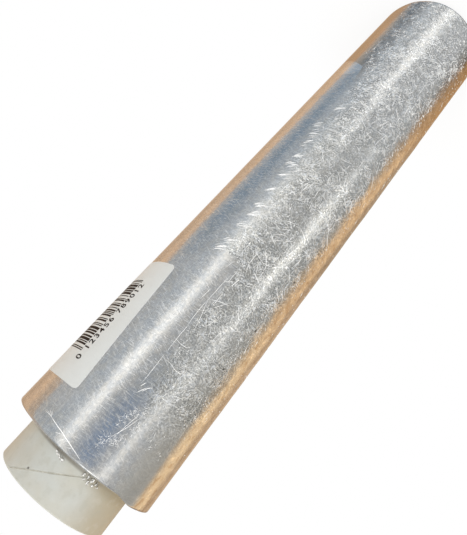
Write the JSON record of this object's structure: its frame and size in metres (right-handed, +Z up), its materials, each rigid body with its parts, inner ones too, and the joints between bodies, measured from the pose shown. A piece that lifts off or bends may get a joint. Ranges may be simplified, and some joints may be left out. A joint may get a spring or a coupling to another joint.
{
  "type": "roll of cling film",
  "caption": "Catering roll of clear cling film wound on a spiral-wound paper core that stands out at one end, with a barcode label stuck on its side; it stands on end.",
  "frame": {"origin": "centre of the core, on the surface that the roll stands on", "axes": "+Z up along the roll's axis, towards the end where the core stands out most; the label lies to the +X side and the film's loose tail end to the -Y side"},
  "size_m": [0.0659, 0.066, 0.32],
  "materials": {
    "core_paper": "matte",
    "film": "gloss",
    "label_paper": "satin"
  },
  "bodies": {
    "root": {"core_tube": "core_paper", "film_roll": "film", "barcode_label": "label_paper"}
  },
  "joints": []
}
